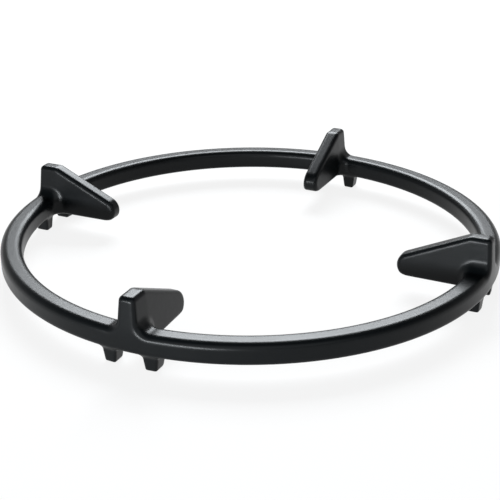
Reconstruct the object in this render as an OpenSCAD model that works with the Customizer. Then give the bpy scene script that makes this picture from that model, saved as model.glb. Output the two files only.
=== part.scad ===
// Wok ring for a gas hob: one iron casting, enamelled black.
// A bar ring carries four inward fingers that hold a round-bottomed pan, and
// under each finger a pair of tapered lugs straddles one bar of the pan support.
// Millimetres. Origin on the ring's axis, in the plane of the lug feet, +Z up.
// The fingers point along +X, +Y, -X and -Y.

/* [Ring] */
// outside diameter of the bar ring
ring_outer_d = 230; // [200:1:270]
// width of the bar, measured along the radius
bar_w = 10; // [7:0.5:14]
// height of the bar
bar_h = 9.4; // [7:0.1:13]
// rounding of the bar's two upper edges
bar_top_r = 3; // [1:0.1:3.4]
// rounding of the bar's two lower edges
bar_low_r = 1.9; // [0.5:0.1:3]

/* [Fingers] */
// number of fingers, evenly spaced
finger_count = 4; // [3:1:6]
// height of a finger's flat top above the top of the bar
finger_rise = 14.3; // [8:0.1:22]
// length of the flat top, measured inward from the ring's outside
flat_len = 10.6; // [7:0.1:18]
// distance from the ring's outside to the tip of the nose
finger_reach = 42.6; // [30:0.2:60]
// radius of the nose, seen from the side
nose_r = 5.8; // [4:0.1:8]
// height of the nose's centre above the underside of the bar
nose_z = 5.2; // [4:0.1:9]
// thickness of a finger at its flat top
finger_top_w = 7.1; // [5:0.1:10]
// amount by which the finger is thinner at the nose than at the flat top
nose_taper = 2.3; // [0:0.1:3]
// moulding draft on the sides and the outer end of a finger, in degrees
draft = 4; // [1:0.5:6]
// rounding of a finger's own edges
finger_edge_r = 1.9; // [1:0.1:2.4]
// hollow rounding where a finger grows out of the bar
web_r = 4.9; // [2:0.1:8]

/* [Lugs] */
// height of a lug below the underside of the bar
lug_h = 7; // [4:0.1:12]
// width of a lug where it meets the bar
lug_root_w = 6.9; // [5:0.1:10]
// width of a lug at its foot
lug_foot_w = 4.9; // [3:0.1:8]
// clear gap between the two lugs of a pair, at the bar
lug_gap = 11.5; // [8:0.1:16]
// distance the lug's outer face is set back from the ring's outside, at the bar
lug_setback = 1.4; // [0.5:0.1:3]
// depth of a lug along the radius, at the bar
lug_depth = 7.4; // [5:0.1:9]
// moulding draft on a lug's inner and outer faces, in degrees
lug_draft = 5; // [1:0.5:8]
// rounding at the foot of a lug
lug_foot_r = 0.9; // [0.4:0.1:1.4]
// hollow rounding at the root of a lug
lug_root_r = 1.5; // [0.5:0.1:2.5]

/* [Hidden] */
$fn = 96;
// facets round a finger's edges and round its nose
edge_fn = 24;
nose_fn = 32;
ring_r = ring_outer_d / 2;
inner_r = ring_r - bar_w;
low_z = lug_h;
top_z = lug_h + bar_h;
flat_z = top_z + finger_rise;
slope = tan(draft);
// the web dips this far under the faces it runs into, so that it meets them cleanly
dip = 0.12;
// a finger's outer end stands this far inside the ring's outer face
end_inset = 0.15;
// half thickness of a finger at height z, outside the taper
function half_w(z) = finger_top_w / 2 + (flat_z - z) * slope;
// distance of an edge rod's axis from the finger's middle plane, with the axis at height z
function rod_y(z) = half_w(z + finger_edge_r) - finger_edge_r;

// Section of the bar, in the radius and height plane.
module bar_section() {
  translate([inner_r + bar_low_r, low_z])
    square([bar_w - 2 * bar_low_r, bar_h - bar_top_r]);
  translate([inner_r, low_z + bar_low_r])
    square([bar_w, bar_h - bar_low_r - bar_top_r]);
  translate([inner_r + bar_top_r, low_z + bar_low_r])
    square([bar_w - 2 * bar_top_r, bar_h - bar_low_r]);
  for (x = [inner_r + bar_low_r, ring_r - bar_low_r])
    translate([x, low_z + bar_low_r]) circle(r = bar_low_r);
  for (x = [inner_r + bar_top_r, ring_r - bar_top_r])
    translate([x, top_z - bar_top_r]) circle(r = bar_top_r);
}

// The bar ring.
module bar() {
  rotate_extrude() bar_section();
}

// Web between one side of a finger and the bar: a hollow rounding that runs along
// the bar's top, turns over its inner edge and goes down the inner face. It keeps
// clear of the outer rounding of the bar, which climbs the web as one soft edge.
module web() {
  reach = web_r + bar_top_r;
  axis_y = half_w(top_z) + web_r * (1 / cos(draft) - slope) - dip;
  axis_z = top_z + web_r - dip;
  inner_x = sqrt(pow(inner_r, 2) - pow(axis_y, 2)) + bar_top_r;
  outer_x = sqrt(pow(ring_r, 2) - pow(axis_y, 2)) - dip;
  translate([inner_x, axis_y, axis_z])
    rotate([0, 90, 0]) rotate([0, 0, 270]) rotate_extrude(angle = 90) web_rim(outer_x - inner_x);
  intersection() {
    translate([inner_x, axis_y, axis_z]) rotate([draft, 0, 0]) translate([0, 0, -reach]) {
      rotate([-90, 0, 0]) rotate([0, 0, 180]) rotate_extrude(angle = 90) web_section();
      mirror([0, 0, 1]) mirror([1, 0, 0]) linear_extrude(bar_h) web_section();
    }
    translate([inner_x - 2 * reach, 0, low_z + dip]) cube([3 * reach, 3 * reach, bar_h + reach]);
  }
}

// Hollow quarter round: x runs away from the bar, y toward the web's axis.
module web_section() {
  difference() {
    translate([0, -web_r - bar_top_r]) square([web_r + bar_top_r, web_r + bar_top_r]);
    translate([web_r + bar_top_r, 0]) circle(r = web_r);
  }
}

// Strip under the hollow along the bar's top, with its outer corner rounded like the bar.
module web_rim(len) {
  translate([web_r, 0]) square([bar_top_r, len - bar_top_r]);
  intersection() {
    translate([web_r, len - bar_top_r]) square([bar_top_r, bar_top_r]);
    translate([web_r + bar_top_r, len - bar_top_r]) circle(r = bar_top_r);
  }
}

// One finger, without its webs. Its long edges are round rods that end square at the
// flat's inner end, so that the flat top turns into the slope at a crisp corner. The
// nose is a rounded disc that leans with the draft.
module finger_blade() {
  r = finger_edge_r;
  out_x = ring_r - end_inset;
  out_top_x = out_x - (flat_z - top_z) * slope;
  flat_x = ring_r - flat_len;
  nose_x = ring_r - finger_reach + nose_r;
  nose_c = low_z + nose_z;
  low_c = low_z + r + 2 * dip;
  hull() {
    for (side = [-1, 1]) {
      translate([flat_x, side * rod_y(flat_z - r), flat_z - r]) edge_rod(out_top_x - r - flat_x);
      translate([flat_x, side * rod_y(top_z - r), top_z - r]) edge_rod(out_x - r - flat_x);
      translate([flat_x, side * rod_y(low_c), low_c]) edge_rod(out_x - r - flat_x);
      translate([nose_x, side * (half_w(nose_c) - nose_taper / 2 - r), nose_c])
        rotate([90 + side * draft, 0, 0])
          rotate_extrude($fn = nose_fn) translate([nose_r - r, 0]) circle(r = r, $fn = edge_fn);
    }
  }
}

// Rod along +X with a ball at its far end.
module edge_rod(len) {
  rotate([0, 90, 0]) rotate_extrude($fn = edge_fn) {
    square([finger_edge_r, len]);
    intersection() {
      translate([0, len]) circle(r = finger_edge_r, $fn = edge_fn);
      square([finger_edge_r, len + finger_edge_r]);
    }
  }
}

// One lug, drafted on all four sides, rounded at the foot and hollowed at the root.
module lug() {
  intersection() {
    rotate([90, 0, 90]) linear_extrude(ring_r) lug_front();
    rotate([90, 0, 0]) translate([0, 0, -bar_w]) linear_extrude(2 * bar_w) lug_side();
  }
}

// Lug seen along the radius, with the hollows at its root.
module lug_front() {
  lean = (lug_root_w - lug_foot_w) / 2 / lug_h;
  angle = atan(lean);
  hollow_z = lug_h - lug_root_r + dip;
  hollow_y = lug_foot_w / 2 + lean * hollow_z + lug_root_r / cos(angle) - dip;
  lug_outline(-lug_foot_w / 2, lug_foot_w / 2, lean);
  difference() {
    translate([-hollow_y, hollow_z]) square([2 * hollow_y, lug_root_r + bar_low_r - dip]);
    for (side = [-1, 1])
      translate([side * hollow_y, hollow_z]) circle(r = lug_root_r);
  }
}

// Lug seen along the ring, as x the radius and y the height.
module lug_side() {
  out_x = ring_r - lug_setback;
  lean = tan(lug_draft);
  lug_outline(out_x - lug_depth + lean * lug_h, out_x - lean * lug_h, lean);
}

// Tapered outline standing on its narrow end, with both lower corners rounded.
module lug_outline(left, right, lean) {
  r = lug_foot_r;
  rise = lug_h + bar_low_r;
  middle = (left + right) / 2;
  half = (right - left) / 2;
  inset = r * (1 / cos(atan(lean)) - lean);
  angle = atan(lean);
  for (side = [-1, 1]) translate([middle, 0]) mirror([side < 0 ? 1 : 0, 0]) {
    translate([half - inset, r]) circle(r = r);
    polygon([
      [0, 0],
      [half - inset, 0],
      [half - inset, r],
      [half - inset + r * cos(angle), r - r * sin(angle)],
      [half + lean * rise, rise],
      [0, rise]
    ]);
  }
}

module wok_ring() {
  color([0.06, 0.065, 0.07]) union() {
    bar();
    for (i = [0:finger_count - 1]) rotate([0, 0, i * 360 / finger_count]) {
      finger_blade();
      web();
      mirror([0, 1, 0]) web();
      for (side = [-1, 1]) translate([0, side * (lug_gap + lug_root_w) / 2, 0]) lug();
    }
  }
}

wok_ring();
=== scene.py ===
import bpy
import math
import numpy as np
from mathutils import Matrix, Vector


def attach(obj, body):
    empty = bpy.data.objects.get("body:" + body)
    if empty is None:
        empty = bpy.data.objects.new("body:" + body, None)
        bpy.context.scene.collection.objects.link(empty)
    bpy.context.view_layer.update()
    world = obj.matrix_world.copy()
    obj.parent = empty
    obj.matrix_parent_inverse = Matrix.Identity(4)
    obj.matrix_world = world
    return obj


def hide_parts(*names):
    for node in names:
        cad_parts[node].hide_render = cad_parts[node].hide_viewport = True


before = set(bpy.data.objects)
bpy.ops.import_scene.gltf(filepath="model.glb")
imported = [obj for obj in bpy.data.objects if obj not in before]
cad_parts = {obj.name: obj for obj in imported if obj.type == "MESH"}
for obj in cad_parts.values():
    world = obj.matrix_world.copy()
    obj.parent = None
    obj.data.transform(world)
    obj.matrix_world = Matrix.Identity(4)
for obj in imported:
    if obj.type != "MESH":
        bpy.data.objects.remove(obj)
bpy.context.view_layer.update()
mm = 0.001
quarterTurn = math.pi / 2
print("frame loaded")


def hexColour(code):  # sRGB hex to linear RGBA
    values = [int(code[i:i + 2], 16) / 255 for i in (1, 3, 5)]
    return [v / 12.92 if v <= 0.04045 else ((v + 0.055) / 1.055) ** 2.4 for v in values] + [1.0]


def addNode(tree, kind, settings=None, links=None, name=None):
    node = tree.nodes.new(kind)
    if name:
        node.name = node.label = name
    for key, value in (settings or {}).items():
        if isinstance(key, int) or key in node.inputs:
            node.inputs[key].default_value = value
        else:
            setattr(node, key, value)
    for key, source in (links or {}).items():
        tree.links.new(source, node.inputs[key])
    return node


# camera: the same view as the picture of the ring, from 24 degrees above it, in degrees and
# millimetres
view = {
    "azimuth": 25.0, "elevation": 24.09, "roll": -0.32,
    "distance": 551.3, "side": -0.29, "rise": -2.41, "aimHeight": 7.0,
    "focal": 84.44, "sensor": 36.0, "nearClip": 10.0, "farClip": 20000.0,
}


def makeCamera(s):
    el, az, roll = (math.radians(s[k]) for k in ("elevation", "azimuth", "roll"))
    ahead = Vector((0, math.cos(el), -math.sin(el)))
    right = Vector((1, 0, 0))
    up = right.cross(ahead)
    turnedRight = math.cos(roll) * right + math.sin(roll) * up
    turnedUp = -math.sin(roll) * right + math.cos(roll) * up
    # the offsets are measured along the rolled axes
    place = -s["distance"] * ahead + s["side"] * turnedRight + s["rise"] * turnedUp
    matrix = Matrix((turnedRight, turnedUp, -ahead)).transposed().to_4x4()
    matrix.translation = place * mm
    turn = Matrix.Rotation(az, 4, "Z")
    lift = Matrix.Translation((0, 0, s["aimHeight"] * mm))
    data = bpy.data.cameras.new("viewCamera")
    data.sensor_width = s["sensor"]
    data.lens = s["focal"]
    data.clip_start = s["nearClip"] * mm
    data.clip_end = s["farClip"] * mm
    camera = bpy.data.objects.new("viewCamera", data)
    camera.matrix_world = lift @ turn @ matrix
    bpy.context.scene.collection.objects.link(camera)
    bpy.context.scene.camera = camera


makeCamera(view)
print("camera placed")

# the casting, in millimetres, with heights from the underside of the bar; drafts are slopes
casting = {
    "outerRadius": 115.0, "innerRadius": 105.0, "barHeight": 9.4,
    "outerEdge": 3.0, "innerEdge": 3.0, "lowEdge": 1.9,
    "fingerTop": 23.7, "flatLength": 10.6,
    "noseTip": 72.4, "noseRadius": 5.8, "noseHeight": 5.2,
    "undersideEnd": 107.0,  # the finger's underside meets the bar's at this radius, inside the bar
    "halfTop": 3.55, "draft": 0.07, "noseTaper": 1.15, "taperLimit": 1.2,
    "endDraft": 0.08, "endBlend": 2.0,  # the outer end's draft sets in softly over this height
    "fingerEdge": 1.9, "ridgeEdge": 0.5, "web": 4.9,
    "lugHeight": 7.0, "lugGap": 11.5, "lugRoot": 6.9, "lugFoot": 4.9,
    "lugInner": 106.2, "lugOuter": 113.6, "lugDraft": 0.085,
    "lugEnds": 0.4, "lugEdge": 0.8, "lugHollow": 1.5, "lugOverlap": 1.5,
}
# the grid that the surface is found on, in millimetres and degrees
grid = {
    "fingerFrom": 71.0, "fingerTo": 103.4, "fingerStep": 0.8,
    "barFrom": 103.8, "barTo": 116.6, "barStep": 0.6,
    "below": 0.7, "above": 1.3, "heightStep": 0.6,
    "halfAngle": 45.0,  # half of the quarter that is repeated
    "fineAngle": 9.2, "fineStep": 0.33, "growth": 1.12, "coarseStep": 2.2,
}
# how the corners are moved onto the surface: a few rounds, each with slopes read over a short probe
settling = {"rounds": 4, "probe": 0.02, "leastSlopeSquared": 0.05}


def roundMin(a, b, r):  # union with a hollow rounding
    u, v = np.maximum(r - a, 0), np.maximum(r - b, 0)
    return np.maximum(r, np.minimum(a, b)) - np.sqrt(u * u + v * v)


def roundMax(a, b, r):  # intersection with a rounded edge
    u, v = np.maximum(r + a, 0), np.maximum(r + b, 0)
    return np.minimum(-r, np.maximum(a, b)) + np.sqrt(u * u + v * v)


def fingerProfile(x, z, c):  # side outline: level top, slope, round nose, underside
    cx, cz, r = c["noseTip"] + c["noseRadius"], c["noseHeight"], c["noseRadius"]
    topX, topZ = c["outerRadius"] - c["flatLength"], c["fingerTop"]

    def tangent(px, pz, sign):  # direction from the nose's centre to where a line touches it
        dx, dz = px - cx, pz - cz
        return math.atan2(dz, dx) + sign * math.acos(r / math.hypot(dx, dz))

    upper, lower = tangent(topX, topZ, 1), tangent(c["undersideEnd"], 0.0, -1)
    slope, underside = ((x - cx) * math.cos(angle) + (z - cz) * math.sin(angle) - r
                        for angle in (upper, lower))
    body = roundMax(slope, z - topZ, c["ridgeEdge"])
    body = np.maximum(body, underside)
    beyondUpper = (x - cx) * math.sin(upper) - (z - cz) * math.cos(upper) < 0
    beyondLower = -(x - cx) * math.sin(lower) + (z - cz) * math.cos(lower) < 0
    return np.where(beyondUpper & beyondLower, np.hypot(x - cx, z - cz) - r, body)


def castingDistance(radius, angle, z, c):  # signed distance to the surface, negative inside
    x, y = radius * np.cos(angle), np.abs(radius * np.sin(angle))
    bar = roundMax(c["innerRadius"] - radius, z - c["barHeight"], c["innerEdge"])

    start, tip = c["outerRadius"] - c["flatLength"], c["noseTip"]
    taper = np.clip((start - x) / (start - tip), 0, c["taperLimit"]) * c["noseTaper"]
    half = c["halfTop"] + (c["fingerTop"] - z) * c["draft"] - taper
    side = (y - half) / math.hypot(1, c["draft"])
    finger = roundMax(fingerProfile(x, z, c), side, c["fingerEdge"])
    body = roundMin(bar, finger, c["web"])

    # the outer face leans in along the finger, where the bar's rounding narrows to the finger's
    above = z - c["barHeight"]
    lean = c["endDraft"] * (above + np.sqrt(above * above + c["endBlend"] ** 2)) / 2
    climb = np.clip(above / c["web"], 0, 1)
    edge = c["outerEdge"] + (c["fingerEdge"] - c["outerEdge"]) * climb * climb * (3 - 2 * climb)
    body = roundMax(body, radius - c["outerRadius"] + lean, edge)
    body = roundMax(body, -z, c["lowEdge"])

    # y has no sign, so one lug makes the pair
    slope = (c["lugRoot"] - c["lugFoot"]) / 2 / c["lugHeight"]
    lug = np.abs(y - (c["lugGap"] + c["lugRoot"]) / 2) - (c["lugRoot"] / 2 + slope * z)
    lug = lug / math.hypot(1, slope)
    outerEnd = radius - c["lugOuter"] - c["lugDraft"] * z
    innerEnd = c["lugInner"] - c["lugDraft"] * z - radius
    lug = roundMax(lug, roundMax(outerEnd, innerEnd, c["lugEnds"]), c["lugEdge"])
    lug = roundMax(lug, -c["lugHeight"] - z, c["lugEdge"])
    lug = np.maximum(lug, z - c["lugOverlap"])
    return roundMin(body, lug, c["lugHollow"])


def gridAngles(g):  # one quarter, fine across the finger and coarse along the plain bar
    steps, angle, step = [0.0], 0.0, g["fineStep"]
    while angle < g["halfAngle"]:
        if angle > g["fineAngle"]:
            step = min(step * g["growth"], g["coarseStep"])
        angle += step
        steps.append(angle)
    steps = np.array(steps) * g["halfAngle"] / steps[-1]
    return np.radians(np.concatenate([-steps[::-1][:-1], steps]))


def settle(point, c, s):  # move the corners onto the surface
    def distance(p):
        r = np.hypot(p[:, 0], p[:, 1])
        a = np.arctan2(p[:, 1], p[:, 0])
        a = a - np.round(a / quarterTurn) * quarterTurn
        return castingDistance(r, a, p[:, 2], c)

    e = s["probe"]
    radius, angle, z = point.T
    p = np.stack([radius * np.cos(angle), radius * np.sin(angle), z], 1)
    for _ in range(s["rounds"]):
        d = distance(p)
        slope = np.stack([(distance(p + e * v) - distance(p - e * v)) / (2 * e)
                          for v in np.eye(3)], 1)
        p = p - slope * (d / np.maximum((slope ** 2).sum(1), s["leastSlopeSquared"]))[:, None]
    return np.hypot(p[:, 0], p[:, 1]), np.arctan2(p[:, 1], p[:, 0]), p[:, 2]


def quarterSurface(c, g, s):
    # a corner in every cell that the surface passes through, and a quad for every grid edge that
    # it crosses
    radii = np.concatenate([np.arange(g["fingerFrom"], g["fingerTo"], g["fingerStep"]),
                            np.arange(g["barFrom"], g["barTo"], g["barStep"])])
    heights = np.arange(-c["lugHeight"] - g["below"], c["fingerTop"] + g["above"], g["heightStep"])
    angles = gridAngles(g)
    count = len(angles) - 1
    # one layer over, from the next quarter
    wide = np.concatenate([angles[:-1], angles[:2] + quarterTurn])
    fold = np.concatenate([angles[:-1], angles[:2]])
    value = castingDistance(radii[:, None, None], fold[None, :, None], heights[None, None, :], c)
    inside = value < 0
    axes = [radii, wide, heights]
    cellShape = tuple(n - 1 for n in value.shape)
    total = np.zeros(cellShape + (3,))
    hits = np.zeros(cellShape)
    quads = []
    for axis in range(3):
        nearEnds, farEnds = [slice(None)] * 3, [slice(None)] * 3
        nearEnds[axis], farEnds[axis] = slice(0, -1), slice(1, None)
        nearEnds, farEnds = tuple(nearEnds), tuple(farEnds)
        crossing = inside[nearEnds] != inside[farEnds]
        at = np.argwhere(crossing)
        nearValue, farValue = value[nearEnds][crossing], value[farEnds][crossing]
        share = nearValue / (nearValue - farValue)
        point = np.stack([axes[k][at[:, k]] for k in range(3)], 1)
        point[:, axis] += share * (axes[axis][at[:, axis] + 1] - axes[axis][at[:, axis]])
        others = [k for k in range(3) if k != axis]
        corners = []
        for backU, backV in ((0, 0), (1, 0), (1, 1), (0, 1)):  # the four cells round the edge
            cell = at.copy()
            cell[:, others[0]] -= backU
            cell[:, others[1]] -= backV
            corners.append(cell)
            good = np.all((cell >= 0) & (cell < np.array(cellShape)), 1)
            np.add.at(total, tuple(cell[good].T), point[good])
            np.add.at(hits, tuple(cell[good].T), 1)
        quad = np.stack(corners, 1)
        good = np.all((quad >= 0) & (quad < np.array(cellShape)), (1, 2))
        if axis != 1:  # the layer over only closes the last cells
            good &= at[:, 1] > 0
        flip = inside[nearEnds][crossing] ^ (axis == 1)  # so that every quad faces outwards
        quad[flip] = quad[flip][:, ::-1]
        quads.append(quad[good])
    cells = np.argwhere(hits > 0)
    number = -np.ones(hits.shape, int)
    number[tuple(cells.T)] = np.arange(len(cells))
    point = total[tuple(cells.T)] / hits[tuple(cells.T)][:, None]
    faces = np.concatenate([number[tuple(np.moveaxis(q, 2, 0))] for q in quads])
    radius, angle, z = settle(point, c, s)
    # the last layer is the first one of the next quarter
    first, last = number[:, 0, :], number[:, count, :]
    both = (first >= 0) & (last >= 0)
    radius[last[both]], z[last[both]] = radius[first[both]], z[first[both]]
    angle[last[both]] = angle[first[both]] + quarterTurn
    points = np.stack([radius * np.cos(angle), radius * np.sin(angle), z + c["lugHeight"]], 1)
    return points * mm, faces


points, faces = quarterSurface(casting, grid, settling)
quarterMesh = bpy.data.meshes.new("castingQuarter")
quarterMesh.from_pydata(points.tolist(), [], faces.tolist())
quarterMesh.update()
quarter = bpy.data.objects.new("castingQuarter", quarterMesh)
bpy.context.scene.collection.objects.link(quarter)
print("quarter of the casting:", len(points), "points,", len(faces), "faces")

# black vitreous enamel on cast iron: powdered glass sprayed on and fired to a satin finish, so it
# is a deep black that mirrors little when faced and much at a shallow angle, with a faint orange
# peel from the spray, a fine grain, and clouds where the fired glass is a little duller or thinner.
# It is set to mirror less than the real glass, which over a white floor would turn its blacks grey.
# The real grain is finer than a tenth of a millimetre and is drawn coarser, so that it can show.
# Sizes are in millimetres
enamel = {
    "colour": "#040607", "thinColour": "#090c0e", "roughness": 0.31, "roughnessSwing": 0.015,
    "ior": 1.5, "specular": 0.15,
    "cloudSize": 24.0, "cloudDetail": 3.0, "cloudRoughness": 0.5,
    "cloudFrom": 0.35, "cloudTo": 0.65,
    "peelSize": 2.6, "peelDetail": 1.0, "peelRoughness": 0.4, "peelHeight": 0.02,
    "grainSize": 0.4, "grainDetail": 1.0, "grainRoughness": 0.5, "grainHeight": 0.002,
}


def makeEnamel(s):
    material = bpy.data.materials.new("blackVitreousEnamelOnCastIron")
    material.use_nodes = True
    tree = material.node_tree
    tree.nodes.clear()
    place = addNode(tree, "ShaderNodeTexCoord").outputs["Object"]
    names = {"cloud": "firing clouds", "peel": "orange peel", "grain": "satin grain"}
    pattern = {}
    for key, name in names.items():
        noise = addNode(tree, "ShaderNodeTexNoise",
                        {"Scale": 1 / (s[key + "Size"] * mm), "Detail": s[key + "Detail"],
                         "Roughness": s[key + "Roughness"]}, {"Vector": place}, name)
        pattern[key] = noise.outputs["Fac"]
    rough = addNode(tree, "ShaderNodeMapRange",
                    {"From Min": s["cloudFrom"], "From Max": s["cloudTo"],
                     "To Min": s["roughness"] - s["roughnessSwing"],
                     "To Max": s["roughness"] + s["roughnessSwing"]}, {"Value": pattern["cloud"]})
    colour = addNode(tree, "ShaderNodeMix",
                     {"data_type": "RGBA",
                      6: hexColour(s["colour"]), 7: hexColour(s["thinColour"])},
                     {0: pattern["cloud"]}, "thinner glass")
    waves = addNode(tree, "ShaderNodeBump", {"Strength": 1.0, "Distance": s["peelHeight"] * mm},
                    {"Height": pattern["peel"]})
    bump = addNode(tree, "ShaderNodeBump", {"Strength": 1.0, "Distance": s["grainHeight"] * mm},
                   {"Height": pattern["grain"], "Normal": waves.outputs["Normal"]})
    surface = addNode(tree, "ShaderNodeBsdfPrincipled",
                      {"IOR": s["ior"], "Specular IOR Level": s["specular"]},
                      {"Roughness": rough.outputs["Result"], "Normal": bump.outputs["Normal"],
                       "Base Color": colour.outputs[2]})
    addNode(tree, "ShaderNodeOutputMaterial", None, {"Surface": surface.outputs["BSDF"]})
    return material


enamelMaterial = makeEnamel(enamel)
print("enamel made")

# the finger and its stretch of bar, repeated round the ring; the weld distance is in metres
repeat = {"Count": 4, "Weld Distance": 0.00002}


def repeatTree(material):
    tree = bpy.data.node_groups.new("repeatRoundTheRing", "GeometryNodeTree")
    face = tree.interface
    face.new_socket("Geometry", in_out="INPUT", socket_type="NodeSocketGeometry")
    countSocket = face.new_socket("Count", in_out="INPUT", socket_type="NodeSocketInt")
    weldSocket = face.new_socket("Weld Distance", in_out="INPUT", socket_type="NodeSocketFloat")
    face.new_socket("Geometry", in_out="OUTPUT", socket_type="NodeSocketGeometry")
    inlet = addNode(tree, "NodeGroupInput")
    line = addNode(tree, "GeometryNodeMeshLine", {"Offset": (0, 0, 0)},
                   {"Count": inlet.outputs["Count"]})
    index = addNode(tree, "GeometryNodeInputIndex")
    pitch = addNode(tree, "ShaderNodeMath", {"operation": "DIVIDE", 0: 2 * math.pi},
                    {1: inlet.outputs["Count"]})
    angle = addNode(tree, "ShaderNodeMath", {"operation": "MULTIPLY"},
                    {0: index.outputs["Index"], 1: pitch.outputs["Value"]})
    turn = addNode(tree, "ShaderNodeCombineXYZ", None, {"Z": angle.outputs["Value"]})
    spots = addNode(tree, "GeometryNodeInstanceOnPoints", None,
                    {"Points": line.outputs["Mesh"], "Instance": inlet.outputs["Geometry"],
                     "Rotation": turn.outputs["Vector"]})
    whole = addNode(tree, "GeometryNodeRealizeInstances", None,
                    {"Geometry": spots.outputs["Instances"]})
    weld = addNode(tree, "GeometryNodeMergeByDistance", None,
                   {"Geometry": whole.outputs["Geometry"],
                    "Distance": inlet.outputs["Weld Distance"]})
    smooth = addNode(tree, "GeometryNodeSetShadeSmooth", None,
                     {"Geometry": weld.outputs["Geometry"]})
    finish = addNode(tree, "GeometryNodeSetMaterial", {"Material": material},
                     {"Geometry": smooth.outputs["Geometry"]})
    addNode(tree, "NodeGroupOutput", None, {"Geometry": finish.outputs["Geometry"]})
    return tree, {"Count": countSocket.identifier, "Weld Distance": weldSocket.identifier}


def applyTree(source, name, tree, identifiers, s):
    modifier = source.modifiers.new("repeat", "NODES")
    modifier.node_group = tree
    for key, value in s.items():
        modifier[identifiers[key]] = value
    depsgraph = bpy.context.evaluated_depsgraph_get()
    mesh = bpy.data.meshes.new_from_object(source.evaluated_get(depsgraph))
    source.modifiers.remove(modifier)
    mesh.name = name
    piece = bpy.data.objects.new(name, mesh)
    bpy.context.scene.collection.objects.link(piece)
    bpy.data.objects.remove(source)
    return piece


tree, identifiers = repeatTree(enamelMaterial)
ring = applyTree(quarter, "enamelledCasting", tree, identifiers, repeat)
print("casting:", len(ring.data.vertices), "points,", len(ring.data.polygons), "faces")
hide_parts("wok_ring")
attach(ring, "root")

# plain pale floor, in metres; most of its white is there only for the camera and for mirroring and
# glassy surfaces. Near the ring the rest is lit, so that it keeps the shadow, and far off all of it
# glows
floorLook = {
    "colour": "#f8f8f8", "size": 40.0,
    "nearGlow": 0.85, "nearRadius": 0.4, "farGlow": 1.0, "farRadius": 1.6,
}


def seenDirectly(tree):  # 1 for rays from the camera, off a mirroring surface or through glass
    path = addNode(tree, "ShaderNodeLightPath")
    first = addNode(tree, "ShaderNodeMath", {"operation": "MAXIMUM"},
                    {0: path.outputs["Is Camera Ray"], 1: path.outputs["Is Glossy Ray"]})
    both = addNode(tree, "ShaderNodeMath", {"operation": "MAXIMUM"},
                   {0: first.outputs["Value"], 1: path.outputs["Is Transmission Ray"]})
    return both.outputs["Value"]


def makeFloor(s):
    mesh = bpy.data.meshes.new("floor")
    half = s["size"] / 2
    corners = [(-half, -half, 0), (half, -half, 0), (half, half, 0), (-half, half, 0)]
    mesh.from_pydata(corners, [], [(0, 1, 2, 3)])
    floor = bpy.data.objects.new("floor", mesh)
    bpy.context.scene.collection.objects.link(floor)
    material = bpy.data.materials.new("paleFloor")
    material.use_nodes = True
    tree = material.node_tree
    tree.nodes.clear()
    lit = addNode(tree, "ShaderNodeBsdfDiffuse", {"Color": hexColour(s["colour"])})
    glow = addNode(tree, "ShaderNodeEmission", {"Strength": 1.0})  # 1 is white
    place = addNode(tree, "ShaderNodeTexCoord").outputs["Object"]
    reach = addNode(tree, "ShaderNodeVectorMath", {"operation": "LENGTH"}, {0: place})
    amount = addNode(tree, "ShaderNodeMapRange",
                     {"interpolation_type": "SMOOTHSTEP",
                      "From Min": s["nearRadius"], "From Max": s["farRadius"],
                      "To Min": s["nearGlow"], "To Max": s["farGlow"]},
                     {"Value": reach.outputs["Value"]})
    share = addNode(tree, "ShaderNodeMath", {"operation": "MULTIPLY"},
                    {0: seenDirectly(tree), 1: amount.outputs["Result"]})
    both = addNode(tree, "ShaderNodeMixShader", None,
                   {0: share.outputs["Value"], 1: lit.outputs["BSDF"], 2: glow.outputs["Emission"]})
    addNode(tree, "ShaderNodeOutputMaterial", None, {"Surface": both.outputs["Shader"]})
    mesh.materials.append(material)


# soft studio light, in degrees and metres: a softbox behind and above, a wide weak one in front,
# and a long low strip at the front left that gives the front faces their sheen. Azimuth 0 is
# straight behind the ring as the camera sees it, and plus is to the right
lamps = {
    "backSoftbox": {
        "azimuth": 0.3, "elevation": 40.0, "distance": 1.2,
        "width": 0.7, "height": 0.51, "watts": 24.2, "colour": "#f0f5f9",
    },
    "frontFill": {
        "azimuth": 180.0, "elevation": 36.0, "distance": 1.3,
        "width": 1.8, "height": 0.8, "watts": 5.0, "colour": "#f0f5f9",
    },
    "frontStrip": {
        "azimuth": -148.0, "elevation": 2.4, "distance": 1.1,
        "width": 0.7, "height": 0.085, "watts": 17.0, "colour": "#f0f5f9",
    },
}
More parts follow.
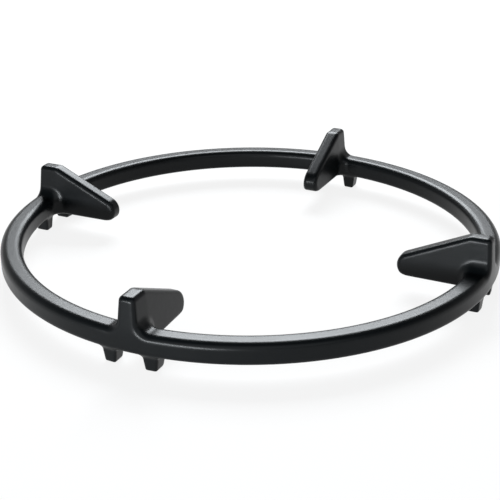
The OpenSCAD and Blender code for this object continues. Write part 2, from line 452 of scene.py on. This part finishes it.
# weak sky, by the sine of the angle above the horizon: white in a thin band at the floor's far
# edge, then a low glow that fades toward the top
sky = {
    "horizon": 1.0, "horizonTop": 0.08, "fadeTop": 0.16,
    "low": 0.45, "lowTop": 0.3, "overhead": 0.08, "highFrom": 0.7,
}


def makeLamp(name, s):
    data = bpy.data.lights.new(name, "AREA")
    data.shape = "RECTANGLE"
    data.size, data.size_y = s["width"], s["height"]
    data.energy = s["watts"]
    data.color = hexColour(s["colour"])[:3]
    lamp = bpy.data.objects.new(name, data)
    turn, climb = math.radians(view["azimuth"] - s["azimuth"]), math.radians(s["elevation"])
    toward = Vector((-math.cos(climb) * math.sin(turn), math.cos(climb) * math.cos(turn),
                     math.sin(climb)))
    lamp.location = toward * s["distance"]
    lamp.rotation_euler = (-toward).to_track_quat("-Z", "Y").to_euler()
    lamp.visible_camera = False
    bpy.context.scene.collection.objects.link(lamp)


def makeSky(s):
    world = bpy.data.worlds.new("studioSky")
    world.use_nodes = True
    tree = world.node_tree
    tree.nodes.clear()
    direction = addNode(tree, "ShaderNodeTexCoord").outputs["Generated"]
    height = addNode(tree, "ShaderNodeSeparateXYZ", None, {"Vector": direction}).outputs["Z"]
    rise = addNode(tree, "ShaderNodeMapRange",
                   {"interpolation_type": "SMOOTHSTEP",
                    "From Min": s["lowTop"], "From Max": s["highFrom"],
                    "To Min": s["low"], "To Max": s["overhead"]}, {"Value": height})
    edge = addNode(tree, "ShaderNodeMapRange",
                   {"interpolation_type": "SMOOTHSTEP",
                    "From Min": s["horizonTop"], "From Max": s["fadeTop"],
                    "To Min": s["horizon"], "To Max": 0.0}, {"Value": height})
    strength = addNode(tree, "ShaderNodeMath", {"operation": "MAXIMUM"},
                       {0: rise.outputs["Result"], 1: edge.outputs["Result"]})
    light = addNode(tree, "ShaderNodeBackground", {"Color": (1, 1, 1, 1)},
                    {"Strength": strength.outputs["Value"]})
    addNode(tree, "ShaderNodeOutputWorld", None, {"Surface": light.outputs["Background"]})
    bpy.context.scene.world = world


makeFloor(floorLook)
for name, settings in lamps.items():
    makeLamp(name, settings)
makeSky(sky)
bpy.context.scene.view_settings.view_transform = "Standard"
print("studio ready")
